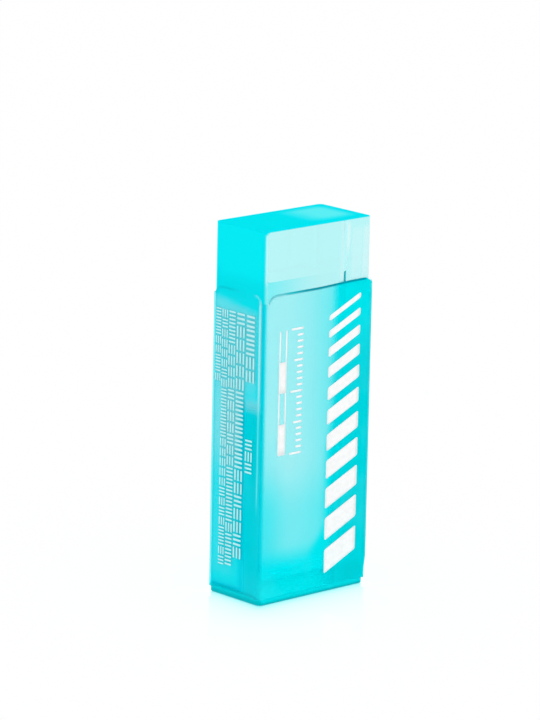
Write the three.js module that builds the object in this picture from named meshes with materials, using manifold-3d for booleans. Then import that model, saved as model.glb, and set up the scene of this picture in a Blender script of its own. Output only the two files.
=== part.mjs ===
// Clear block eraser in a folded plastic sleeve, in millimetres with +Z up.
// The origin is the centre of the block's lower end, on which the eraser stands.
// The wide front panel faces -Y, and the sleeve's glued lap seam is on the narrow +X side.

import * as THREE from 'three';
import { mergeVertices } from 'three/addons/utils/BufferGeometryUtils.js';
import Module from 'manifold-3d';

// Block
const blockLength = 60; // along Z
const blockWidth = 22.4; // along X
const blockThickness = 11.9; // along Y
const blockEdgeRadius = 0.8; // on the four long edges, the two ends are cut square

// Sleeve, one sheet folded round the block
const sheetThickness = 0.25;
const slideClearance = 0.1; // between the block and the sheet, on every side
const exposedLength = 10; // block that stands out above the sleeve
const baseStandout = 1.15; // block that stands out below the sleeve's panels

// Relief notch at each fold of the sleeve's upper edge, widths measured along the sheet from the fold
const leftNotchHalfWidth = 2.95;
const leftNotchFloorHalfWidth = 1;
const leftNotchDepth = 1.35;
const rightNotchHalfWidth = 2;
const rightNotchFloorHalfWidth = 0.1;
const rightNotchDepth = 0.9;

// Shallow tab left at each fold of the sleeve's lower edge, widths measured in the same way
const tabHalfWidth = 3;
const tabFloorHalfWidth = 1.2;
const tabDrop = 0.2;

// Lap seam: the flap lies inside the overlapping panel, with a film of adhesive between them
const adhesiveThickness = 0.08;
const adhesiveClearance = 0.01; // kept between the film and the sheet on each of its two faces
const adhesiveMargin = 0.9; // from the film's edges to the edges of the lap
const adhesiveCornerRadius = 0.7;
const flapEndInset = 0.5; // flap's free edge, from the start of the front fold
const panelEndInset = 0.3; // overlapping panel's free edge, from the start of the back fold

// Facets: each quarter round has twice this many
const arcSegments = 5;
const cutMargin = 1; // how far a cutting solid runs past what it cuts

// Sizes worked out from those above
const halfWidth = blockWidth / 2;
const halfThickness = blockThickness / 2;
const lapGap = adhesiveThickness + 2 * adhesiveClearance;
const foldInnerRadius = blockEdgeRadius + slideClearance;
const foldOuterRadius = foldInnerRadius + sheetThickness;
const innerX = halfWidth + slideClearance; // inner face of the left panel and of the flap
const innerY = halfThickness + slideClearance; // inner face of the front and back panels
const outerX = innerX + sheetThickness; // outer face of the left panel and of the flap
const outerY = innerY + sheetThickness; // outer face of the front and back panels
const lapInnerX = outerX + lapGap; // inner face of the overlapping panel
const lapOuterX = lapInnerX + sheetThickness; // outer face of the overlapping panel
const sleeveTop = blockLength - exposedLength;
const sleeveBottom = baseStandout - tabDrop; // lower edge of the tabs
const flapEndY = -(innerY - foldInnerRadius) + flapEndInset;
const panelEndY = innerY - foldInnerRadius - panelEndInset;

const wasm = await Module();
wasm.setup();

// Closed three.js geometry as a solid that can be cut.
function toSolid(geometry) {
  const bare = geometry.clone();
  bare.deleteAttribute('normal');
  bare.deleteAttribute('uv');
  const merged = mergeVertices(bare);
  return new wasm.Manifold(new wasm.Mesh({
    numProp: 3,
    vertProperties: new Float32Array(merged.getAttribute('position').array),
    triVerts: new Uint32Array(merged.getIndex().array),
  }));
}

// Solid back to a geometry with flat-shaded faces.
function toGeometry(solid) {
  const mesh = solid.getMesh();
  const indexed = new THREE.BufferGeometry();
  indexed.setAttribute('position', new THREE.BufferAttribute(mesh.vertProperties, mesh.numProp));
  indexed.setIndex(new THREE.BufferAttribute(mesh.triVerts, 1));
  const geometry = indexed.toNonIndexed();
  geometry.computeVertexNormals();
  return geometry;
}

// Outline extruded along its own normal, for the given depth.
function extrude(shape, depth) {
  return new THREE.ExtrudeGeometry(shape, { depth, bevelEnabled: false, curveSegments: arcSegments });
}

// Outline drawn with its height along Z, extruded from y = -reach to y = +reach.
function extrudeAcross(shape, reach) {
  const geometry = extrude(shape, 2 * reach);
  geometry.rotateX(Math.PI / 2);
  geometry.translate(0, reach, 0);
  return geometry;
}

// Rectangle about the origin with four round corners.
function roundedRectangle(width, height, radius) {
  const x = width / 2 - radius;
  const y = height / 2 - radius;
  const shape = new THREE.Shape();
  shape.absarc(x, y, radius, 0, Math.PI / 2);
  shape.absarc(-x, y, radius, Math.PI / 2, Math.PI);
  shape.absarc(-x, -y, radius, Math.PI, 1.5 * Math.PI);
  shape.absarc(x, -y, radius, 1.5 * Math.PI, 2 * Math.PI);
  shape.closePath();
  return shape;
}

// Section of the folded sheet, seen from above: round its outer face from the overlapping panel's
// free edge to the flap's free edge, then back along its inner face.
function sheetSection() {
  const left = -innerX + foldInnerRadius;
  const flapFold = innerX - foldInnerRadius;
  const lapFold = lapInnerX - foldInnerRadius;
  const front = -innerY + foldInnerRadius;
  const back = innerY - foldInnerRadius;
  const right = 0;
  const up = Math.PI / 2;
  const shape = new THREE.Shape();
  shape.moveTo(lapOuterX, panelEndY);
  shape.absarc(lapFold, front, foldOuterRadius, right, -up, true);
  shape.absarc(left, front, foldOuterRadius, -up, -2 * up, true);
  shape.absarc(left, back, foldOuterRadius, 2 * up, up, true);
  shape.absarc(flapFold, back, foldOuterRadius, up, right, true);
  shape.lineTo(outerX, flapEndY);
  shape.lineTo(innerX, flapEndY);
  shape.absarc(flapFold, back, foldInnerRadius, right, up);
  shape.absarc(left, back, foldInnerRadius, up, 2 * up);
  shape.absarc(left, front, foldInnerRadius, -2 * up, -up);
  shape.absarc(lapFold, front, foldInnerRadius, -up, right);
  shape.lineTo(lapInnerX, panelEndY);
  shape.closePath();
  return shape;
}

// Cut for one notch, drawn across the fold's bisector, where a width along the sheet is shortened
// by cos 45. The two panels' corners stay as quarter ellipses beside the notch.
function notchOutline(openHalfWidth, floorHalfWidth, depth) {
  const across = Math.SQRT1_2;
  const half = openHalfWidth * across;
  const shoulder = (openHalfWidth - floorHalfWidth) * across;
  const floor = sleeveTop - depth;
  const shape = new THREE.Shape();
  shape.moveTo(-half, sleeveTop + cutMargin);
  shape.absellipse(-half, floor, shoulder, depth, Math.PI / 2, 0, true);
  shape.absellipse(half, floor, shoulder, depth, Math.PI, Math.PI / 2, true);
  shape.lineTo(half, sleeveTop + cutMargin);
  shape.closePath();
  return shape;
}

// Cut below one pair of panels, between the tabs at their folds: halfSpan runs from the panels'
// middle to the fold's sharp corner.
function reliefOutline(halfSpan) {
  const half = halfSpan - tabHalfWidth;
  const shoulder = tabHalfWidth - tabFloorHalfWidth;
  const shape = new THREE.Shape();
  shape.moveTo(half + shoulder, sleeveBottom - cutMargin);
  shape.absellipse(half, sleeveBottom, shoulder, tabDrop, 0, Math.PI / 2);
  shape.absellipse(-half, sleeveBottom, shoulder, tabDrop, Math.PI / 2, Math.PI);
  shape.lineTo(-half - shoulder, sleeveBottom - cutMargin);
  shape.closePath();
  return shape;
}

function makeBlock() {
  return extrude(roundedRectangle(blockWidth, blockThickness, blockEdgeRadius), blockLength);
}

function makeSleeve() {
  const sheet = extrude(sheetSection(), sleeveTop - sleeveBottom);
  sheet.translate(0, 0, sleeveBottom);
  let solid = toSolid(sheet);
  // A notch at each of the four folds, cut along the fold's bisector.
  const leftNotch = notchOutline(leftNotchHalfWidth, leftNotchFloorHalfWidth, leftNotchDepth);
  const rightNotch = notchOutline(rightNotchHalfWidth, rightNotchFloorHalfWidth, rightNotchDepth);
  const reach = Math.max(leftNotchHalfWidth, rightNotchHalfWidth) + cutMargin;
  const folds = [
    [-outerX, -outerY, leftNotch],
    [lapOuterX, -outerY, rightNotch],
    [outerX, outerY, rightNotch],
    [-outerX, outerY, leftNotch],
  ];
  for (const [x, y, outline] of folds) {
    const notch = extrudeAcross(outline, reach);
    notch.rotateZ(Math.sign(x * y) * -Math.PI / 4);
    notch.translate(x, y, 0);
    solid = solid.subtract(toSolid(notch));
  }
  // The lower edges between the tabs: front and back together, then the two narrow sides.
  const lapMiddleX = (lapOuterX - outerX) / 2;
  const wideRelief = extrudeAcross(reliefOutline((outerX + lapOuterX) / 2), outerY + cutMargin);
  wideRelief.translate(lapMiddleX, 0, 0);
  const narrowRelief = extrudeAcross(reliefOutline(outerY), lapOuterX + cutMargin);
  narrowRelief.rotateZ(Math.PI / 2);
  return toGeometry(solid.subtract(toSolid(wideRelief)).subtract(toSolid(narrowRelief)));
}

function makeAdhesive() {
  const width = panelEndY - flapEndY - 2 * adhesiveMargin;
  const low = baseStandout + adhesiveMargin;
  const high = sleeveTop - rightNotchDepth - adhesiveMargin;
  const film = extrude(roundedRectangle(width, high - low, adhesiveCornerRadius), adhesiveThickness);
  film.rotateX(Math.PI / 2);
  film.rotateZ(Math.PI / 2);
  film.translate(outerX + adhesiveClearance, (panelEndY + flapEndY) / 2, (low + high) / 2);
  return film;
}

function addPart(group, name, geometry, material) {
  const mesh = new THREE.Mesh(geometry, material);
  mesh.name = name;
  group.add(mesh);
}

const eraser = new THREE.Group();
addPart(eraser, 'eraser_block', makeBlock(), new THREE.MeshStandardMaterial({
  color: 0x35e2ec, roughness: 0.25, metalness: 0, transparent: true, opacity: 0.8,
}));
addPart(eraser, 'sleeve', makeSleeve(), new THREE.MeshStandardMaterial({
  color: 0x9cf1f6, roughness: 0.12, metalness: 0, transparent: true, opacity: 0.45,
}));
addPart(eraser, 'seam_adhesive', makeAdhesive(), new THREE.MeshStandardMaterial({
  color: 0xe9f7f6, roughness: 0.4, metalness: 0, transparent: true, opacity: 0.6,
}));

export default eraser;
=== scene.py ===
import math
import bpy
import numpy as np
from mathutils import Matrix, Vector


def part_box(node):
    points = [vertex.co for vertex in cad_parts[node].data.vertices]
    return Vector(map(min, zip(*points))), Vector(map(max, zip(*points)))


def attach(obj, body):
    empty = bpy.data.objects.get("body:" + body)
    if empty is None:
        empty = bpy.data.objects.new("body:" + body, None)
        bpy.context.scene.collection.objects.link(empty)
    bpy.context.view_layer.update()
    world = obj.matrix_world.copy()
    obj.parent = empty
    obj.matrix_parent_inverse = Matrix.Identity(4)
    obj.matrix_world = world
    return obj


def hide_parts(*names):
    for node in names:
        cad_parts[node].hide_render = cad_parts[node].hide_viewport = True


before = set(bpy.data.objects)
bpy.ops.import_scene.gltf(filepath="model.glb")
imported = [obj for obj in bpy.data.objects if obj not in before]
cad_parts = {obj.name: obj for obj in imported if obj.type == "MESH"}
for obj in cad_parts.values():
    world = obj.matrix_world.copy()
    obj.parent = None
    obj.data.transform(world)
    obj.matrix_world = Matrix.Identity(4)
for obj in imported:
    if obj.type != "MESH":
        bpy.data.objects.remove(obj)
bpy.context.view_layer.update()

mm = 0.001                               # lengths below are written in millimetres
blockLow, blockHigh = (np.array(corner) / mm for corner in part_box("eraser_block"))
sleeveLow, sleeveHigh = (np.array(corner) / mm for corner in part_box("sleeve"))
glueLow, glueHigh = (np.array(corner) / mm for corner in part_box("seam_adhesive"))
print("frame: block", (blockHigh - blockLow).round(2), "sleeve", (sleeveHigh - sleeveLow).round(2))


# mesh tools

def smoothStep(low, high, value):
    # 0 below low, 1 above high, cubic ease between
    t = np.clip((value - low) / (high - low), 0, 1)
    return t * t * (3 - 2 * t)


def gridFaces(rows, columns):
    # quads between neighbouring rows of points, each row a closed ring
    r, c = np.meshgrid(np.arange(rows - 1), np.arange(columns), indexing="ij")
    d = (c + 1) % columns
    here, above = r * columns, (r + 1) * columns
    return np.stack([here + c, here + d, above + d, above + c], -1).reshape(-1, 4)


def tubeFaces(rows, columns, start=0):
    # the quads, and one face over the first ring and one over the last; start is the first point's number
    ring = np.arange(columns)
    caps = [ring[::-1] + start, ring + (rows - 1) * columns + start]
    return (gridFaces(rows, columns) + start).tolist() + [cap.tolist() for cap in caps]


def makePiece(name, points, faces, attributes, material, body, stands=None):
    mesh = bpy.data.meshes.new(name)
    mesh.from_pydata((points.reshape(-1, 3) * mm).tolist(), [], faces)
    for key, values in attributes.items():
        layer = mesh.attributes.new(key, "FLOAT", "POINT")
        layer.data.foreach_set("value", np.ascontiguousarray(values, np.float32).ravel())
    mesh.polygons.foreach_set("use_smooth", np.ones(len(mesh.polygons), bool))
    mesh.materials.append(material)
    mesh.update()
    piece = bpy.data.objects.new(name, mesh)
    bpy.context.scene.collection.objects.link(piece)
    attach(piece, body)
    if stands:
        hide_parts(stands)
    print("piece:", name, len(mesh.polygons), "faces on", body)


# material tools

noiseSpan = (0.3, 0.7)                   # most of a noise's values lie between these


def newMaterial(name):
    material = bpy.data.materials.new(name)
    material.use_nodes = True
    return material, material.node_tree, material.node_tree.nodes["Principled BSDF"]


def addNode(tree, kind, inputs=None, **settings):
    node = tree.nodes.new(kind)
    for key, value in settings.items():
        setattr(node, key, value)
    for key, value in (inputs or {}).items():
        if isinstance(value, bpy.types.NodeSocket):
            tree.links.new(value, node.inputs[key])
        else:
            node.inputs[key].default_value = value
    return node


def attribute(tree, name):
    return addNode(tree, "ShaderNodeAttribute", attribute_name=name).outputs["Fac"]


def blend(tree, factor, first, second):
    # colour between first and second, either a colour or a socket
    ends = {6: first, 7: second}
    ends = {k: v if isinstance(v, bpy.types.NodeSocket) else (*v, 1) for k, v in ends.items()}
    return addNode(tree, "ShaderNodeMix", {0: factor, **ends}, data_type="RGBA").outputs[2]


def remap(tree, value, low, high, outLow, outHigh):
    return addNode(tree, "ShaderNodeMapRange", {0: value, 1: low, 2: high, 3: outLow, 4: outHigh}).outputs[0]


def ease(tree, value, low, high):
    # 0 at low, 1 at high, smooth between
    inputs = {0: value, 1: low, 2: high}
    return addNode(tree, "ShaderNodeMapRange", inputs, interpolation_type="SMOOTHSTEP").outputs[0]


def calculate(tree, operation, first, second):
    return addNode(tree, "ShaderNodeMath", {0: first, 1: second}, operation=operation).outputs[0]


def objectPlace(tree, size=1.0):
    # object coordinates, in units of this many millimetres
    place = addNode(tree, "ShaderNodeTexCoord").outputs["Object"]
    return addNode(tree, "ShaderNodeMapping", {0: place, 3: [1 / (mm * size)] * 3}).outputs[0]


def noise(tree, size, detail):
    inputs = {"Vector": objectPlace(tree, size), "Scale": 1.0, "Detail": detail}
    return addNode(tree, "ShaderNodeTexNoise", inputs).outputs["Fac"]


def mottle(tree, grain, low, high):
    # value that wanders between low and high, by a noise of the grain's size and detail
    return remap(tree, noise(tree, *grain), *noiseSpan, low, high)


def bump(tree, shader, height, depth):
    node = addNode(tree, "ShaderNodeBump", {"Height": height, "Strength": 1.0, "Distance": depth * mm})
    tree.links.new(node.outputs[0], shader.inputs["Normal"])


def connect(tree, shader, **sockets):
    for key, value in sockets.items():
        tree.links.new(value, shader.inputs[key.replace("_", " ")])


# camera at the photograph's view: degrees, millimetres, and a focal length in pixels of its 540 by 720 frame

cameraView = dict(azimuth=-42.4915, elevation=13.383, roll=1.206, place=(-484.04, -523.47, 206.67),
                  focalPixels=4645.9, framePixels=720, sensor=36.0,
                  clip=(0.01, 50.0))     # metres


def makeCamera(view):
    a, e, r = (math.radians(view[key]) for key in ("azimuth", "elevation", "roll"))
    ahead = Vector((-math.sin(a) * math.cos(e), math.cos(a) * math.cos(e), -math.sin(e)))
    level = ahead.cross(Vector((0, 0, 1))).normalized()
    right = math.cos(r) * level + math.sin(r) * level.cross(ahead)
    turn = Matrix((right, right.cross(ahead), -ahead)).transposed().to_4x4()
    data = bpy.data.cameras.new("photoCamera")
    data.sensor_width = view["sensor"]
    data.lens = view["focalPixels"] * view["sensor"] / view["framePixels"]
    data.clip_start, data.clip_end = view["clip"]
    camera = bpy.data.objects.new("photoCamera", data)
    camera.matrix_world = Matrix.Translation(Vector(view["place"]) * mm) @ turn
    bpy.context.scene.collection.objects.link(camera)
    bpy.context.scene.camera = camera


makeCamera(cameraView)
print("camera placed")


# eraser block

blockLook = dict(
    edgeRadius=0.8, rimRadius=0.15,      # long edges, and edges of the cut ends
    arcSteps=20, rimSteps=4,
    support=0.03,                        # extra points this close to an edge keep the flats flat
    # where each face's own look starts on its round edges, by the part of the normal that is towards it
    leftTurn=(0.64, 0.93), rightTurn=(0.93, 0.999), frontTurn=(0.9, 0.99),
    edgeTurn=(0.3, 0.6), endTurn=(0.1, 0.6),
    wideColor=(0.83, 0.93, 0.943),       # painted tint through the wide faces, standing in for light having least to cross
    narrowColor=(0.0, 0.81, 0.892),      # painted tint through the narrow faces, standing in for light's longer path
    endColor=(0.0, 0.775, 0.867), endGlow=(0.10, 0.84, 0.885),       # painted tint of a cut end, and its paler part, a painted glow
    glowPlace=((-0.5, 5.0, 8.0, 10.4), (-4.6, -1.5, 2.8, 5.2)),      # that part's x and y, as for the streaks
    topCloud=0.99, leftCloud=0.85, footCloud=0.85,   # milky share of the upper end, left face and foot, painted light that gives them their lit cyan
    edgeCloud=0.88, edgeColor=(0.48, 0.97, 0.98),    # milky round edge between the front and the left
    edgeDeep=(0.2, 0.90, 0.92), edgeFoot=(51.2, 52.4),       # deeper below these heights
    cornerReach=(0.9, 0.2), cornerStart=-10.95,      # the left face's look cuts the wide faces' upper corner
    footColor=(0.0, 0.80, 0.86), footHeight=(1.9, 1.2),      # the wide faces turn deep between these heights, painted light at the foot
    contactShadeColor=(0.0, 0.46, 0.51), contactShadeHeight=(1.3, 0.15),       # painted contact shade along the foot's edge
    contactShadeThin=0.7,                         # the front's painted contact shade is thinner, by a factor of 1 + this
    # painted highlight streaks on the front, laid as milky shares: share, and x and z where each starts, is
    # full, fades and ends
    paintedStreaks=((0.34, (4.15, 5.25, 5.3, 5.45), (0.0, 0.5, 51.6, 51.8)),
             (0.16, (4.3, 4.8, 5.2, 5.5), (51.6, 51.8, 59.8, 60.0)),
             (0.56, (5.65, 5.85, 5.95, 6.75), (53.6, 56.4, 58.8, 60.0)),
             (0.21, (6.6, 7.2, 8.9, 9.3), (0.0, 0.5, 57.8, 59.2)),
             (0.36, (9.0, 9.5, 10.9, 11.2), (0.0, 0.5, 57.8, 59.2))),
    streakLean=0.03, streakLevel=52.5,   # they lean to the right as they rise, about this height
    paintedVeilCloud=0.9, paintedVeilColor=(0.555, 0.965, 0.98),   # an even painted pale strip, painted light over the far corner's image
    paintedVeilPlace=((5.0, 5.25, 5.7, 5.95), (51.7, 51.9, 59.8, 60.0)),
    roughGrain=(5.0, 4.0), roughness=(0.03, 0.07),   # a grain is a noise's size and detail
    bumpGrain=(1.2, 2.0), bumpDepth=0.002,
    absorbColor=(0.02, 0.985, 0.985), absorbDensity=40.0,
    ior=1.5, mirrorLevel=0.0, reflectTint=(0.0, 1.0, 1.0),
)


def roundedOutline(halfX, halfY, look):
    # rounded rectangle, counter-clockwise: corner centre + radius * (cos t, sin t) with t from a narrow face
    # to a wide one, and a support point just off both ends of each arc; rows of x, y and normal
    quarter = np.linspace(0, np.pi / 2, look["arcSteps"] + 1)
    t = np.concatenate([[0], quarter, [np.pi / 2]])
    normals = np.stack([np.cos(t), np.sin(t)], -1)
    points = np.array([halfX, halfY]) + look["edgeRadius"] * (normals - 1)
    points[0, 1] -= look["support"]
    points[-1, 0] -= look["support"]
    rows = np.concatenate([points, normals], 1)
    turns = [(1, 1, 1), (-1, 1, -1), (-1, -1, 1), (1, -1, -1)]
    return np.concatenate([rows[::step] * (sx, sy, sx, sy) for sx, sy, step in turns]).T


def makeBlock(look, material):
    # outline carried up the block and drawn in along a small quarter round at each end:
    # inset = rim * (1 - cos f), distance from the end = rim * (1 - sin f), f from the side to the end
    half, centre = (blockHigh - blockLow) / 2, (blockHigh + blockLow) / 2
    rim, support = look["rimRadius"], look["support"]
    f = np.linspace(0, np.pi / 2, look["rimSteps"] + 1)
    inset = np.concatenate([[0], rim * (1 - np.cos(f)), [rim + support]])
    drop = np.concatenate([[rim + support], rim * (1 - np.sin(f)), [0]])
    lean = np.concatenate([[0], np.sin(f), [1]])
    insets = np.concatenate([inset[::-1], inset])
    heights = np.concatenate([blockLow[2] + drop[::-1], blockHigh[2] - drop])
    leans = np.concatenate([lean[::-1], lean])
    x, y, normalX, normalY = roundedOutline(half[0], half[1], look)
    shape = (len(insets), len(x))
    flat = centre[:2] + np.stack([x, y], -1) * (1 - insets[:, None, None] / half[:2])
    points = np.concatenate([flat, np.broadcast_to(heights[:, None, None], (*shape, 1))], -1)
    left = smoothStep(*look["leftTurn"], -normalX)
    sides = dict(narrowFace=np.maximum(left, smoothStep(*look["rightTurn"], normalX)), leftFace=left,
                 frontFace=smoothStep(*look["frontTurn"], -normalY),
                 roundEdge=smoothStep(*look["edgeTurn"], -normalX) * (normalY < 0))
    marks = {key: np.broadcast_to(values, shape) for key, values in sides.items()}
    marks["cutEnd"] = np.broadcast_to(smoothStep(*look["endTurn"], leans)[:, None], shape)
    makePiece("eraserBlock", points, tubeFaces(*shape), marks, material,
              "eraser", "eraser_block")


def patch(tree, mark, across, upward, spans):
    # the mark within the spans across and upward, each where it starts, is full, fades and ends
    for value, (start, full, fade, end) in zip((across, upward), spans):
        mark = calculate(tree, "MULTIPLY", mark, ease(tree, value, start, full))
        mark = calculate(tree, "MULTIPLY", mark, ease(tree, value, end, fade))
    return mark


def eraserMaterial(look):
    material, tree, shader = newMaterial("clearCyanCompound")
    names = ("narrowFace", "leftFace", "frontFace", "roundEdge", "cutEnd")
    narrow, left, front, edge, ends = (attribute(tree, name) for name in names)
    x, y, z = addNode(tree, "ShaderNodeSeparateXYZ", {0: objectPlace(tree)}).outputs
    # upper left corner, by the sum of the distances from the top and from the left
    apart = calculate(tree, "SUBTRACT", x, z)
    apart = calculate(tree, "ADD", apart, blockHigh[2] - look["cornerStart"])
    corner = ease(tree, apart, *look["cornerReach"])
    left = calculate(tree, "MAXIMUM", left, corner)
    narrow = calculate(tree, "MAXIMUM", narrow, corner)
    foot = ease(tree, z, *look["footHeight"])
    rise = calculate(tree, "SUBTRACT", z, look["streakLevel"])
    across = calculate(tree, "SUBTRACT", x, calculate(tree, "MULTIPLY", rise, look["streakLean"]))
    # painted light: a pale strip over the far corner's image
    paintedVeil = patch(tree, front, across, z, look["paintedVeilPlace"])
    # colour: each layer over the one before it, over the faces' painted tints
    edgeColor = blend(tree, ease(tree, z, *look["edgeFoot"]), look["edgeDeep"], look["edgeColor"])
    # painted glow on a cut end
    glow = patch(tree, 1.0, x, y, look["glowPlace"])
    endColor = blend(tree, glow, look["endColor"], look["endGlow"])
    color = blend(tree, paintedVeil, look["wideColor"], look["paintedVeilColor"])
    color = blend(tree, edge, color, edgeColor)
    color = blend(tree, narrow, color, look["narrowColor"])
    color = blend(tree, foot, color, look["footColor"])
    color = blend(tree, ends, color, endColor)
    # painted contact shade, darker at the very foot
    height = calculate(tree, "MULTIPLY", z, remap(tree, front, 0, 1, 1, 1 + look["contactShadeThin"]))
    color = blend(tree, ease(tree, height, *look["contactShadeHeight"]), color, look["contactShadeColor"])
    # milky share: the round edge's passes into the left face's, and the largest of all holds
    edge = calculate(tree, "MULTIPLY", edge, look["edgeCloud"])
    cloud = addNode(tree, "ShaderNodeMix", {0: left, 2: edge, 3: look["leftCloud"]}).outputs[0]
    # only the upper end is made milky: painted light
    top = calculate(tree, "MULTIPLY", ends, calculate(tree, "GREATER_THAN", z, blockHigh[2] / 2))
    milky = [(top, look["topCloud"]), (paintedVeil, look["paintedVeilCloud"]), (foot, look["footCloud"])]
    # painted highlight streaks on the front
    milky += [(patch(tree, front, across, z, spans), share) for share, *spans in look["paintedStreaks"]]
    for mark, share in milky:
        cloud = calculate(tree, "MAXIMUM", cloud, calculate(tree, "MULTIPLY", mark, share))
    clear = remap(tree, cloud, 0, 1, 1, 0)
    rough = mottle(tree, look["roughGrain"], *look["roughness"])
    connect(tree, shader, Base_Color=color, Transmission_Weight=clear, Roughness=rough)
    bump(tree, shader, noise(tree, *look["bumpGrain"]), look["bumpDepth"])
    shader.inputs["IOR"].default_value = look["ior"]
    shader.inputs["Specular IOR Level"].default_value = look["mirrorLevel"]
    shader.inputs["Specular Tint"].default_value = (*look["reflectTint"], 1)
    absorb = addNode(tree, "ShaderNodeVolumeAbsorption",
                     {"Color": (*look["absorbColor"], 1), "Density": look["absorbDensity"]})
    tree.links.new(absorb.outputs[0], tree.nodes["Material Output"].inputs["Volume"])
    return material


makeBlock(blockLook, eraserMaterial(blockLook))


# sleeve, one folded sheet

sleeveLook = dict(
    sheet=0.25, foldRadius=1.15,         # the folds' outer radius
    lapGap=0.1,                          # between the flap and the panel over it
    leftNotch=(2.95, 1.0, 1.35),         # half width, half width of the floor, and depth
    rightNotch=(2.0, 0.1, 0.9), notchSlope=1.2,
    tabHalf=3.0, tabFloor=1.2, tabDrop=0.2,
    flapInset=0.5, panelInset=0.3,
    arcSteps=16, lineSteps=48, heightSteps=64, rimRadius=0.05, rimSteps=3,
    edgeRows=(0.0, 0.03, 0.1, 0.18, 0.28, 0.42), rowsInset=0.7,  # rows near a cut edge, and start of the rest
    ripple=0.05,                         # how far the sheet bows in towards the block
    rippleLean=1.7,                      # share of y in the place along a ripple
    rippleWaves=((0.31, 0.23, 0.4), (0.48, -0.12, 2.1), (0.2, 0.37, 4.4)),   # rates along and up, and shift
    rippleEnd=(9.0, 10.2),               # and the x over which it ends, before the lap
    foldPress=0.31, pressHeight=(1.2, 4.8),  # the front right fold is pressed in at its foot
    topLift=0.27, liftStart=(-1.0, 8.0), liftEnd=(-5.0, 4.0),    # the upper edge rises at the front's right
    # edgeColor is the painted shade of the dark lines along cut edges and folds
    clearColor=(0.97, 0.99, 0.995), deepColor=(0.0, 0.90, 0.955), edgeColor=(0.0, 0.29, 0.38),
    # front panel, painted light: a clear window in deep sheet
    windowFade=(-8.0, 4.5, 0.66),        # it loses this share over these x
    windowRight=(2.4, 4.1),              # and ends over these
    windowLean=((1.1, 22.0, 30.0), (3.5, 6.0, 12.0)),        # sooner by these lengths, below these heights
    windowLow=(5.8, 9.7), windowDeep=(13.0, 23.0, 0.55),     # its foot, and where it deepens, to this share
    cornerLoss=0.55, cornerRight=(-11.0, -5.0), cornerTop=(14.0, 30.0),      # its lower left corner is deeper
    windowHaze=(-12.5, -2.0, 0.12),      # milky at its left
    lowHaze=0.75, lowHeight=(2.5, 7.5),  # and low on the front
    lowFade=0.22, lowRight=(-2.0, 6.0),  # less at its right
    rightHaze=0.65, rightStart=(3.0, 4.6),   # the front's deep right part
    # painted shade over the front's right part, fading towards the top
    rightDark=0.18, darkStart=(0.0, 8.0), darkLoss=0.85, darkTop=(36.0, 46.0),
    # left panel, painted light and shade: deep at its lower front and along its rear fold, milky above and
    # towards the rear
    leftTint=1.0, leftTop=(30.5, 33.5), leftBack=(-1.8, -0.4),
    rearTint=0.8, rearStart=(4.9, 5.4),
    leftHaze=0.36, hazeBack=(-2.8, -1.4),
    haze=0.06, milkTop=(31.0, 37.0), milkFoot=(18.0, 27.0),  # all milky above, and least below these heights
    milkRear=(1.5, 1.25),                # share at the rear, and what it loses low down
    milkStart=(-2.4, 0.4, 2.0),          # y where that starts and is full, and how much later low down
    milkEnd=(47.5, 0.15, 0.6),           # its upper end, and that end's slope and fade
    milkLow=(2.5, 4.5),
    milkGap=(-4.75, 0.4),                # clear line beside the front fold
    # back and lap
    backTint=0.66, backClear=(-8.0, 8.0),    # the back clears towards its right
    lapTint=0.9, lapHaze=0.42, filmTint=0.16, filmHaze=0.08, filmSoft=0.5,    # paler where the glue is
    lapTop=(47.6, 48.6),                 # the lap clears between these heights
    freeEdge=0.5, freeWidth=0.16,        # painted shade line along the lap's free edge
    # folds
    foldTint=0.9, bandTint=1.0, bandPlace=0.15, bandWidth=0.46,     # folds painted deep; the front left fold has a narrow painted band of shade
    creaseHaze=0.6, creaseTint=0.5, creaseWidth=0.17, creaseShift=0.78,     # and a pale crease beside it, a painted highlight
    creaseLow=(14.0, 19.0), creaseFaint=0.4, creaseFull=(29.0, 37.0), creaseTop=(48.0, 49.5),
    foldEdge=0.5, rearFoldEdge=0.2,      # painted shade lines on the front right and rear left folds
    # cut edges: painted shade lines and gleams
    lineReach=(0.25, 0.5), lineHaze=0.9,     # painted shade line along the front's upper edge
    # shares that are added to it over these x, and the x over which it ends
    lineRise=((0.62, -10.9, -10.4), (0.06, -10.0, -8.6), (0.27, -7.8, -6.0)), lineEnd=(9.7, 10.3),
    lineFaint=0.6, lineFull=(-7.0, -1.0),    # it is fainter at its left
    leftLine=0.15, leftLineStart=(-1.0, 2.0),    # painted shade line along the left's, and a painted gleam at its front
    notchGleam=0.05, gleamBack=(-4.4, -3.4),
    footReach=0.38, footHaze=0.6, footEdge=0.35, deepFoot=(0.76, 1.52),      # the lower edge: a painted milky gleam, and painted shade on the left
    tintGrain=(9.0, 3.0), tintUneven=0.02, roughGrain=(3.0, 4.0), roughness=(0.015, 0.05),
    ior=1.06, reflectTint=(0.0, 1.0, 1.0),
)


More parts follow.
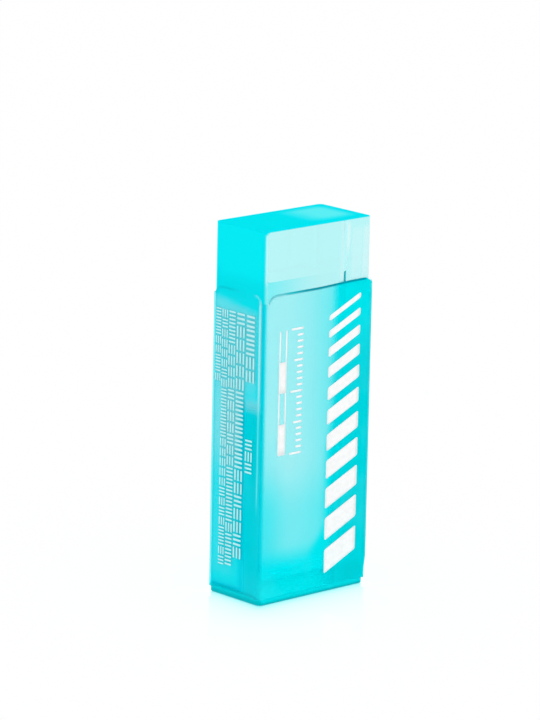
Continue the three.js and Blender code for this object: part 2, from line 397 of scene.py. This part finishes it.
def sheetPath(look):
    # middle line of the sheet seen from above, from the overlapping panel's free edge round the front, left
    # and back to the flap's free edge: points, outward normals, distance from the nearest fold's sharp
    # corner, and distance along the sheet from the front left fold
    t, big = look["sheet"], look["foldRadius"]
    flapRight = sleeveHigh[0] - t - look["lapGap"]
    front, back, left, right = sleeveLow[1], sleeveHigh[1], sleeveLow[0], sleeveHigh[0]
    corners = ((right, front, 1, -1), (left, front, -1, -1), (left, back, -1, 1), (flapRight, back, 1, 1))
    here = np.array([right - t / 2, back - big - look["panelInset"]])
    finish = np.array([flapRight - t / 2, front + big + look["flapInset"]])
    quarter = np.linspace(0, -np.pi / 2, look["arcSteps"] + 1)
    # samples crowd towards the ends of each straight run, where the notches and tabs are
    crowd = 0.5 + 0.5 * np.sin(np.linspace(-1, 1, look["lineSteps"] + 1)[1:-1] * np.pi / 2)
    far = np.full(1, 2 * look["tabHalf"])    # a free edge is out of reach of every notch and tab
    points, normals, apart = [here[None]], [np.array([[1.0, 0.0]])], [far]
    for k, (x, y, sx, sy) in enumerate(corners):
        turn = quarter - k * np.pi / 2
        normal = np.stack([np.cos(turn), np.sin(turn)], -1)
        arc = np.array([x - sx * big, y - sy * big]) + (big - t / 2) * normal
        line = here + (arc[0] - here) * crowd[:, None]
        toNext = np.linalg.norm(line - arc[0], axis=1) + big
        toLast = np.linalg.norm(line - here, axis=1) + (big if k else 2 * look["tabHalf"])
        points += [line, arc]
        normals += [np.broadcast_to(normal[0], line.shape), normal]
        apart += [np.minimum(toNext, toLast), math.sqrt(2) * big * np.abs(np.sin(quarter + np.pi / 4))]
        here = arc[-1]
    line = here + (finish - here) * np.append(crowd, 1)[:, None]
    points.append(line)
    normals.append(np.broadcast_to(normals[-1][-1], line.shape))
    apart.append(np.linalg.norm(line - here, axis=1) + big)
    points, normals, apart = (np.concatenate(rows) for rows in (points, normals, apart))
    run = np.append(0, np.cumsum(np.linalg.norm(np.diff(points, axis=0), axis=1)))
    fold = np.argmin(np.hypot(points[:, 0] - left, points[:, 1] - front))
    return points, normals, apart, run - run[fold]


def sheetBow(x, y, z, look):
    # how far the sheet bows in: the sum of slow sine ripples of place and height, none over the glued lap
    u, waves = x + look["rippleLean"] * y, look["rippleWaves"]
    ripples = sum(np.sin(along * u + upward * z + shift) for along, upward, shift in waves)
    return look["ripple"] * (1 - smoothStep(*look["rippleEnd"], x)) * (0.5 + ripples / (2 * len(waves)))


def panelShares(normal):
    # how far a place belongs to the front, left, back and right: squares of the outward normal's parts, so
    # that 4 times the product of two neighbours is 1 at the middle of their fold
    x, y = normal[:, :1], normal[:, 1:]
    return [np.clip(part, 0, 1) ** 2 for part in (-y, -x, y, x)]


def frontTints(x, z, look):
    # painted light: a clear window that fades to the right, leans in towards its foot and deepens downwards
    start, end, loss = look["windowFade"]
    low, high, least = look["windowDeep"]
    lean = sum(inset * (1 - smoothStep(*span, z)) for inset, *span in look["windowLean"])
    depth = smoothStep(*look["windowLow"], z) * (least + (1 - least) * smoothStep(low, high, z))
    window = depth * (1 - loss * smoothStep(start, end, x)) * (1 - smoothStep(*look["windowRight"], x + lean))
    corner = (1 - smoothStep(*look["cornerRight"], x)) * (1 - smoothStep(*look["cornerTop"], z))
    window = window * (1 - look["cornerLoss"] * corner)
    start, end, share = look["windowHaze"]
    haze = share * depth * (1 - smoothStep(start, end, x))
    foot = look["lowHaze"] - look["lowFade"] * smoothStep(*look["lowRight"], x)
    haze = np.maximum(haze, foot * (1 - smoothStep(*look["lowHeight"], z)))
    return 1 - window, np.maximum(haze, look["rightHaze"] * smoothStep(*look["rightStart"], x))


def leftTints(y, z, look):
    # painted light and shade: deep at the lower front and along the rear fold, milky above and towards the
    # rear
    lowerPart = 1 - smoothStep(*look["leftTop"], z)
    deep = look["leftTint"] * lowerPart * (1 - smoothStep(*look["leftBack"], y))
    deep = np.maximum(deep, look["rearTint"] * smoothStep(*look["rearStart"], y))
    upper, lower = smoothStep(*look["milkTop"], z), 1 - smoothStep(*look["milkFoot"], z)
    (share, loss), (start, full, later) = look["milkRear"], look["milkStart"]
    milky = upper + (1 - upper) * (share - loss * lower) * smoothStep(start, full + later * lower, y)
    end, slope, fade = look["milkEnd"]
    milky = milky * (1 - smoothStep(-fade, fade, z - end - slope * y)) * smoothStep(*look["milkLow"], z)
    place, width = look["milkGap"]
    milky = milky * (1 - np.exp(-((y - place) / width) ** 2))
    return deep, look["haze"] * milky + look["leftHaze"] * lowerPart * (1 - smoothStep(*look["hazeBack"], y))


def lapTints(y, z, below, look):
    # milky, paler over the glue, and only below the lap's top
    soft, film = look["filmSoft"], 1.0
    for value, low, high in ((y, glueLow[1], glueHigh[1]), (z, glueLow[2], glueHigh[2])):
        film = film * smoothStep(low, low + soft, value) * (1 - smoothStep(high - soft, high, value))
    return (below * (look["lapTint"] - look["filmTint"] * film),
            below * (look["lapHaze"] + look["filmHaze"] * film))


def sheetTints(x, y, z, normal, along, look):
    # tint: 0 clear, 1 deep; haze: share of milky sheet; each panel's own field, mostly painted light and
    # shade, weighted over the folds by the panels' shares, then the folds' own painted deep tint and the
    # crease beside the front left one, a painted highlight
    front, left, back, right = panelShares(normal)
    below = 1 - smoothStep(*look["lapTop"], z)
    frontDeep, frontHaze = frontTints(x, z, look)
    leftDeep, leftHaze = leftTints(y, z, look)
    lapDeep, lapHaze = lapTints(y, z, below, look)
    backDeep = look["backTint"] * (1 - smoothStep(*look["backClear"], x))
    tint = front * frontDeep + left * leftDeep + back * backDeep + right * lapDeep
    folds = look["foldTint"] * 4 * (left * back + right * (front + back * below))
    band = look["bandTint"] * np.exp(-((along[:, None] - look["bandPlace"]) / look["bandWidth"]) ** 2)
    tint = tint + (1 - tint) * np.maximum(folds, band)
    crease = np.exp(-((along[:, None] - look["creaseShift"]) / look["creaseWidth"]) ** 2)
    crease = crease * smoothStep(*look["creaseLow"], z) * (1 - smoothStep(*look["creaseTop"], z))
    crease = crease * (look["creaseFaint"] + (1 - look["creaseFaint"]) * smoothStep(*look["creaseFull"], z))
    haze = front * frontHaze + left * leftHaze + right * lapHaze + look["creaseHaze"] * crease
    return tint + (look["creaseTint"] - tint) * crease, haze


def edgeMarks(x, y, z, top, bottom, normal, along, look):
    # marks of the sheet's material: the tints, with a painted shade line on the front's upper cut edge, a
    # faint painted gleam on the left's, painted shade on the folds and free edge, and a milky foot that paints
    # a gleam
    tint, haze = sheetTints(x, y, z, normal, along, look)
    front, left, back, right = panelShares(normal)
    upper = 1 - smoothStep(*look["lineReach"], top - z)
    lower = np.exp(-((z - bottom) / look["footReach"]) ** 2)
    line = sum(share * smoothStep(*span, x) for share, *span in look["lineRise"])
    line = upper * front * line * (1 - smoothStep(*look["lineEnd"], x))
    deepRight = front * smoothStep(*look["darkStart"], x)
    deepRight = deepRight * (1 - look["darkLoss"] * smoothStep(*look["darkTop"], z))
    darkParts = (
        line * (look["lineFaint"] + (1 - look["lineFaint"]) * smoothStep(*look["lineFull"], x)),
        look["rightDark"] * deepRight,
        4 * (look["foldEdge"] * front * right + look["rearFoldEdge"] * left * back),
        look["footEdge"] * lower * left,
        look["leftLine"] * upper * left * smoothStep(*look["leftLineStart"], y),
        look["freeEdge"] * np.exp(-((along - along[0]) / look["freeWidth"]) ** 2)[:, None],
    )
    dark = np.max(np.broadcast_arrays(*darkParts), 0)
    gleam = look["notchGleam"] * upper * left * (1 - smoothStep(*look["gleamBack"], y))
    haze = np.maximum(haze, look["footHaze"] * lower * (front + left)) + look["lineHaze"] * line + gleam
    deepFoot = left * (1 - smoothStep(*look["deepFoot"], z - bottom))
    return dict(tintWithPaintedLight=np.maximum(np.maximum(tint, line), deepFoot), hazeWithPaintedLight=haze, paintedShadeLines=dark)


def makeSleeve(look, material):
    # rounded strip profile carried along the folded path; upper edge = top - depth * (1 - sqrt(1 - q * q))
    # with q from 0 at a left notch's shoulder to 1 at its floor, and top - depth * q ** slope + lift * (1 - q)
    # on the right, where the cut is straighter; lower edge = tab's foot + drop * sqrt(1 - p * p) likewise;
    # place = path + normal * (across the sheet - bow - press)
    path, normal, apart, along = sheetPath(look)
    rim, half = look["rimRadius"], look["sheet"] / 2
    mouth, floor, depth = np.where(path[:, :1] < 0, look["leftNotch"], look["rightNotch"]).T
    q = np.clip((mouth - apart) / (mouth - floor), 0, 1)
    top = sleeveHigh[2] - depth * np.where(path[:, 0] < 0, 1 - np.sqrt(1 - q * q), q ** look["notchSlope"])
    lift = smoothStep(*look["liftStart"], path[:, 0]) * (1 - smoothStep(*look["liftEnd"], path[:, 1]))
    top = (top + look["topLift"] * lift * (1 - q))[:, None]
    p = np.clip((look["tabHalf"] - apart) / (look["tabHalf"] - look["tabFloor"]), 0, 1)
    bottom = (sleeveLow[2] + look["tabDrop"] * np.sqrt(1 - p * p))[:, None]
    f = np.linspace(0, np.pi / 2, look["rimSteps"] + 1)[1:]
    near = rim + np.array(look["edgeRows"])
    rise = np.linspace(0, 1, look["heightSteps"] + 1)
    # half the profile, up one face and over the rim: across the sheet, share of the height, and added height
    across = np.concatenate([np.full(len(rise) + 2 * len(near), half), half - rim * (1 - np.cos(f))])
    share = np.concatenate([0 * near, rise, 0 * near + 1, 0 * f + 1])
    add = np.concatenate([near, (1 - 2 * rise) * look["rowsInset"], -near[::-1], -rim * (1 - np.sin(f))])
    # the other half is the same, turned about the sheet's middle
    pairs = ((across, -across), (share, 1 - share), (add, -add))
    across, share, add = (np.concatenate(pair) for pair in pairs)
    z = bottom + (top - bottom) * share + add
    x, y = path[:, :1], path[:, 1:]
    front, _, _, right = panelShares(normal)
    press = look["foldPress"] * 4 * front * right * (1 - smoothStep(*look["pressHeight"], z))
    out = across - sheetBow(x, y, z, look) - press
    points = np.stack([x + normal[:, :1] * out, y + normal[:, 1:] * out, z], -1)
    marks = edgeMarks(x, y, z, top, bottom, normal, along, look)
    makePiece("sleeveSheet", points, tubeFaces(*z.shape), marks, material, "sleeve", "sleeve")


def sheetMaterial(look):
    material, tree, shader = newMaterial("clearTintedSheet")
    # tint and haze carry the sheet's tint together with painted light and shade
    tint, haze, edge = (attribute(tree, name) for name in ("tintWithPaintedLight", "hazeWithPaintedLight", "paintedShadeLines"))
    uneven = mottle(tree, look["tintGrain"], -look["tintUneven"], look["tintUneven"])
    color = blend(tree, calculate(tree, "ADD", tint, uneven), look["clearColor"], look["deepColor"])
    # painted shade lines along cut edges and folds
    color = blend(tree, edge, color, look["edgeColor"])
    clear = remap(tree, haze, 0, 1, 1, 0)
    rough = mottle(tree, look["roughGrain"], *look["roughness"])
    connect(tree, shader, Base_Color=color, Transmission_Weight=clear, Roughness=rough)
    shader.inputs["IOR"].default_value = look["ior"]
    shader.inputs["Specular Tint"].default_value = (*look["reflectTint"], 1)
    return material


makeSleeve(sleeveLook, sheetMaterial(sleeveLook))


# print on the sleeve: plain bars, ticks and a weave of strokes

printLook = dict(
    lift=0.004, thickness=0.012,         # ink over the sheet
    barLeft=2.2, barRight=8.9, barSlant=0.45,
    barRadius=0.35, barRound=0.4,        # corners, and the most that they take of a bar's thickness
    barFrom=4.6, barTo=46.6, barThick=3.9, barThin=0.9, barCount=11,
    tickFrom=24.0, tickBase=-3.3, tickLengths=(2.5, 1.8, 1.2), tickWidth=0.34, tickRadius=0.08, tickCount=21,
    scaleRow=(-8.3, -6.7), scaleLine=0.26, scaleBoxes=4, scaleStep=5.0, boxRadius=0.05, boxGap=0.02,
    weave=((-3.1, 1.9, 46.4, 35.4), (-3.1, 1.6, 26.5, 19.0), (-0.8, 1.8, 46.4, 6.0), (1.2, 1.5, 46.4, 4.8),
           (2.9, 1.3, 46.4, 4.8), (4.4, 1.2, 46.4, 34.0)),   # side panel: y, cell, and z from and to
    weaveGap=0.3, strokeShare=0.19, strokes=3, strokeRound=0.6, uprightChance=0.5, seed=7,
    # shares of its size at which a mark has rings of points, and steps round each of its corners
    barRings=(1.0, 0.75, 0.5, 0.25), barSteps=5, tickRings=(1.0, 0.4), tickSteps=2,
    strokeRings=(1.0,), strokeSteps=1,
    inkColor=(0.99, 0.99, 0.99), thinInkColor=(0.50, 0.93, 0.96),
    wornGrain=(0.6, 4.0), wornSpan=(0.35, 0.65), wornShade=0.94, roughness=(0.4, 0.55),
    bumpGrain=(0.2, 2.0), bumpDepth=0.001,
)


def frontPlace(u, v, lift):
    # u runs to the right along x, v up, lift out of the front panel
    y = sleeveLow[1] + sheetBow(u, sleeveLow[1] + sleeveLook["sheet"] / 2, v, sleeveLook) - lift
    return np.stack(np.broadcast_arrays(u, y, v), -1)


def leftPlace(u, v, lift):
    # u runs to the right along -y, v up, lift out of the left panel
    x = sleeveLow[0] + sheetBow(sleeveLow[0] + sleeveLook["sheet"] / 2, -u, v, sleeveLook) - lift
    return np.stack(np.broadcast_arrays(x, -u, v), -1)


def makeMarks(name, marks, place, rings, steps, look, material):
    # each mark is a row of u, v, half width, half height, slant and corner radius: a rounded rectangle,
    # sheared by its slant and drawn in to its middle by the rings, under and over the ink
    u, v, halfU, halfV, slant, radius = (column[:, None, None] for column in np.array(marks).T)
    t = np.linspace(0, np.pi / 2, steps + 1) + np.arange(4)[:, None] * np.pi / 2
    sign = np.array([[1, 1], [-1, 1], [-1, -1], [1, -1]])
    du = sign[:, :1] * (halfU - radius) + radius * np.cos(t)
    dv = sign[:, 1:] * (halfV - radius) + radius * np.sin(t)
    du, dv = (side.reshape(len(marks), 1, -1) for side in (du, dv))
    rings = np.array(rings)[None, :, None]
    scale = np.concatenate([rings[:, ::-1], rings], 1)
    lift = look["lift"] + look["thickness"] * (np.arange(scale.shape[1]) >= rings.shape[1])[None, :, None]
    points = place(u + du * scale, v + (dv + slant * du) * scale, lift)
    rows, columns = points.shape[1:3]
    faces = [face for k in range(len(marks)) for face in tubeFaces(rows, columns, k * rows * columns)]
    makePiece(name, points, faces, {}, material, "sleeve")


def slantedBars(look):
    # bars up the front's right half, each thinner than the one below, spread over the same rise
    share = np.linspace(0, 1, look["barCount"])
    thick = look["barThick"] + (look["barThin"] - look["barThick"]) * share
    gap = (look["barTo"] - look["barFrom"] - thick.sum()) / (look["barCount"] - 1)
    low = look["barFrom"] + np.append(0, np.cumsum(thick + gap)[:-1])
    radius = np.minimum(look["barRadius"], thick * look["barRound"])
    u, half = (look["barLeft"] + look["barRight"]) / 2, (look["barRight"] - look["barLeft"]) / 2
    return [(u, z + t / 2, half, t / 2, look["barSlant"], r) for z, t, r in zip(low, thick, radius)]


def scaleMarks(look):
    # millimetre ticks, longest every ten and longer every five, and a row of filled and open boxes by them
    base, thin, marks = look["tickBase"], look["tickWidth"] / 2, []
    for k in range(look["tickCount"]):
        length = look["tickLengths"][0 if k % 10 == 0 else 1 if k % 5 == 0 else 2]
        marks.append((base - length / 2, look["tickFrom"] + k, length / 2, thin, 0, look["tickRadius"]))
    (low, high), line = look["scaleRow"], look["scaleLine"]
    step, radius = look["scaleStep"], look["boxRadius"]
    for k in range(look["scaleBoxes"]):
        z = look["tickFrom"] + (k + 0.5) * step
        if k % 2 == 0:
            marks.append(((low + high) / 2, z, (high - low) / 2, step / 2, 0, radius))
        else:
            edges = (low + line / 2, high - line / 2)
            marks += [(edge, z, line / 2, step / 2 - look["boxGap"], 0, radius) for edge in edges]
    return marks


def weaveLines(look):
    # lines of small square cells down the narrow panel, each of a few strokes laid one way or the other
    draw = np.random.default_rng(look["seed"])
    offsets = np.linspace(-0.5, 0.5, look["strokes"]) * (1 - look["strokeShare"])
    marks = []
    for y, cell, start, end in look["weave"]:
        half, thin = cell / 2, cell * look["strokeShare"] / 2
        radius, step = thin * look["strokeRound"], cell + look["weaveGap"]
        for k in range(int((start - end) / step)):
            z = start - half - k * step
            if draw.random() < look["uprightChance"]:
                marks += [(-y + offset * cell, z, thin, half, 0, radius) for offset in offsets]
            else:
                marks += [(-y, z + offset * cell, half, thin, 0, radius) for offset in offsets]
    return marks


def inkMaterial(name, color, look):
    material, tree, shader = newMaterial(name)
    worn = noise(tree, *look["wornGrain"])
    darker = tuple(look["wornShade"] * c for c in color)
    connect(tree, shader, Base_Color=blend(tree, remap(tree, worn, *look["wornSpan"], 0, 1), color, darker),
            Roughness=remap(tree, worn, *noiseSpan, *look["roughness"]))
    bump(tree, shader, noise(tree, *look["bumpGrain"]), look["bumpDepth"])
    return material


ink = inkMaterial("whiteInk", printLook["inkColor"], printLook)
thinInk = inkMaterial("thinWhiteInk", printLook["thinInkColor"], printLook)
makeMarks("frontBars", slantedBars(printLook), frontPlace, printLook["barRings"], printLook["barSteps"],
          printLook, ink)
makeMarks("frontScale", scaleMarks(printLook), frontPlace, printLook["tickRings"], printLook["tickSteps"],
          printLook, ink)
makeMarks("sideWeave", weaveLines(printLook), leftPlace, printLook["strokeRings"], printLook["strokeSteps"],
          printLook, thinInk)


# seam adhesive

glueLook = dict(
    color=(0.97, 0.99, 0.99), cloudColor=(0.93, 0.98, 0.98), ior=1.06,
    cloudGrain=(2.4, 4.0), roughness=(0.08, 0.2),
    cornerRadius=0.7, edgeWave=0.3, thinning=0.015,
    edgeWaves=((0.9, 1.0, 0.0), (2.3, 2.5, 1.0)), thinWave=(0.7, 3.0),   # rates upward and across, and shift
    heightSteps=90, acrossSteps=10,
)


def makeGlue(look, material):
    # flat strip carried up the lap: half width = full - corner rounding - ripples of its height, with the
    # outer face a little hollow in places
    half, middle = (glueHigh[1] - glueLow[1]) / 2, (glueHigh[1] + glueLow[1]) / 2
    rise = 0.5 + 0.5 * np.sin(np.linspace(-1, 1, look["heightSteps"] + 1) * np.pi / 2)
    z = (glueLow[2] + (glueHigh[2] - glueLow[2]) * rise)[:, None]
    radius = look["cornerRadius"]
    near = np.clip(np.minimum(z - glueLow[2], glueHigh[2] - z), 0, radius)
    corner = radius - np.sqrt(radius ** 2 - (radius - near) ** 2)
    across = np.linspace(-1, 1, look["acrossSteps"] + 1)
    slow, quick = (np.sin(up * z + side * across + shift) for up, side, shift in look["edgeWaves"])
    ragged = 0.5 + 0.25 * slow + 0.25 * quick
    y = middle + across * (half - corner - look["edgeWave"] * ragged)
    up, side = look["thinWave"]
    thick = glueHigh[0] - glueLow[0] - look["thinning"] * (0.5 + 0.5 * np.sin(up * z + side * across))
    outer = np.stack(np.broadcast_arrays(glueLow[0] + thick, y, z), -1)
    inner = np.stack(np.broadcast_arrays(glueLow[0] + 0 * thick, y, z), -1)
    points = np.concatenate([outer, inner[:, ::-1]], 1)
    makePiece("seamGlue", points, tubeFaces(*points.shape[:2]), {}, material,
              "sleeve", "seam_adhesive")


def glueMaterial(look):
    material, tree, shader = newMaterial("driedAdhesive")
    cloud = noise(tree, *look["cloudGrain"])
    connect(tree, shader, Base_Color=blend(tree, cloud, look["color"], look["cloudColor"]),
            Roughness=remap(tree, cloud, *noiseSpan, *look["roughness"]))
    shader.inputs["Transmission Weight"].default_value = 1.0
    shader.inputs["IOR"].default_value = look["ior"]
    return material


makeGlue(glueLook, glueMaterial(glueLook))


# studio

studioLook = dict(
    floorSize=6.0, floorDrop=0.04,       # metres, and millimetres below the block's foot
    floorColor=(0.97, 0.97, 0.97), floorRoughness=0.05,
    floorWhite=0.87,                     # share of plain white in the floor as the camera sees it
    gloss=0.33, glossFall=5.5,           # mirror share round the object, and how far off it falls
    contactGloss=0.32, contactFall=0.9,  # and the same close to it
    paintedUnderGloss=(0.0, 0.6, 0.6),          # painted cyan pool: floor that stays under the mirror, round the object
    lampPower=0.35, lampSize=0.5, lampPlace=(-0.5, -0.35, 0.7),      # watts and metres
    worldColor=(1.0, 1.0, 1.0), worldStrength=1.0,
    bounces=128,                         # for light that crosses the sheet and the block many times
)


def floorMaterial(look):
    # pale, with some plain white for camera, glossy and transmission rays; mirror share = gloss *
    # exp(-apart / fall) + contact gloss * exp(-apart / contact fall), apart being the distance from the
    # block's outline; under the mirror the floor is painted a cyan pool
    material, tree, shader = newMaterial("paleFloor")
    shader.inputs["Specular IOR Level"].default_value = 0.0      # the mirror below is its only gloss
    ray = addNode(tree, "ShaderNodeLightPath").outputs
    seen = calculate(tree, "MAXIMUM", ray["Is Camera Ray"], ray["Is Glossy Ray"])
    seen = calculate(tree, "MAXIMUM", seen, ray["Is Transmission Ray"])
    apart = objectPlace(tree)
    steps = (("ABSOLUTE", {}), ("SUBTRACT", {1: blockHigh * (1, 1, 0)}), ("MAXIMUM", {1: (0, 0, 0)}))
    for operation, other in steps:
        apart = addNode(tree, "ShaderNodeVectorMath", {0: apart, **other}, operation=operation).outputs[0]
    apart = addNode(tree, "ShaderNodeVectorMath", {0: apart}, operation="LENGTH").outputs["Value"]
    gloss = calculate(tree, "POWER", math.exp(-1 / look["glossFall"]), apart)
    gloss = calculate(tree, "MULTIPLY", gloss, look["gloss"])
    contact = calculate(tree, "POWER", math.exp(-1 / look["contactFall"]), apart)
    gloss = calculate(tree, "ADD", gloss, calculate(tree, "MULTIPLY", contact, look["contactGloss"]))
    # painted cyan pool round the object, under its mirror
    connect(tree, shader, Base_Color=blend(tree, gloss, look["floorColor"], look["paintedUnderGloss"]))
    whiteColor = blend(tree, gloss, (1, 1, 1), look["paintedUnderGloss"])
    white = addNode(tree, "ShaderNodeEmission", {"Color": whiteColor}).outputs[0]
    share = calculate(tree, "MULTIPLY", seen, look["floorWhite"])
    pale = addNode(tree, "ShaderNodeMixShader", {0: share, 1: shader.outputs[0], 2: white}).outputs[0]
    mirror = addNode(tree, "ShaderNodeBsdfGlossy", {"Color": blend(tree, gloss, (0, 0, 0), (1, 1, 1)),
                                                    "Roughness": look["floorRoughness"]}).outputs[0]
    mixed = addNode(tree, "ShaderNodeAddShader", {0: pale, 1: mirror}).outputs[0]
    tree.links.new(mixed, tree.nodes["Material Output"].inputs["Surface"])
    return material


def makeStudio(look):
    scene = bpy.context.scene
    scene.view_settings.view_transform = "Standard"
    scene.world = bpy.data.worlds.new("studio")
    scene.world.use_nodes = True
    background = scene.world.node_tree.nodes["Background"]
    background.inputs["Color"].default_value = (*look["worldColor"], 1)
    background.inputs["Strength"].default_value = look["worldStrength"]
    side, low = look["floorSize"] / 2, -look["floorDrop"] * mm
    mesh = bpy.data.meshes.new("floor")
    corners = [(-side, -side, low), (side, -side, low), (side, side, low), (-side, side, low)]
    mesh.from_pydata(corners, [], [(0, 1, 2, 3)])
    mesh.materials.append(floorMaterial(look))
    floor = bpy.data.objects.new("floor", mesh)
    scene.collection.objects.link(floor)
    data = bpy.data.lights.new("softbox", "AREA")
    data.energy, data.size = look["lampPower"], look["lampSize"]
    lamp = bpy.data.objects.new("softbox", data)
    lamp.location = look["lampPlace"]
    lamp.rotation_euler = (-lamp.location).to_track_quat("-Z", "Y").to_euler()
    scene.collection.objects.link(lamp)
    for kind in ("max_bounces", "transmission_bounces", "glossy_bounces"):
        setattr(scene.cycles, kind, look["bounces"])
    scene.cycles.blur_glossy = 0         # or what lies behind the clear sheet darkens


makeStudio(studioLook)
print("studio lit")
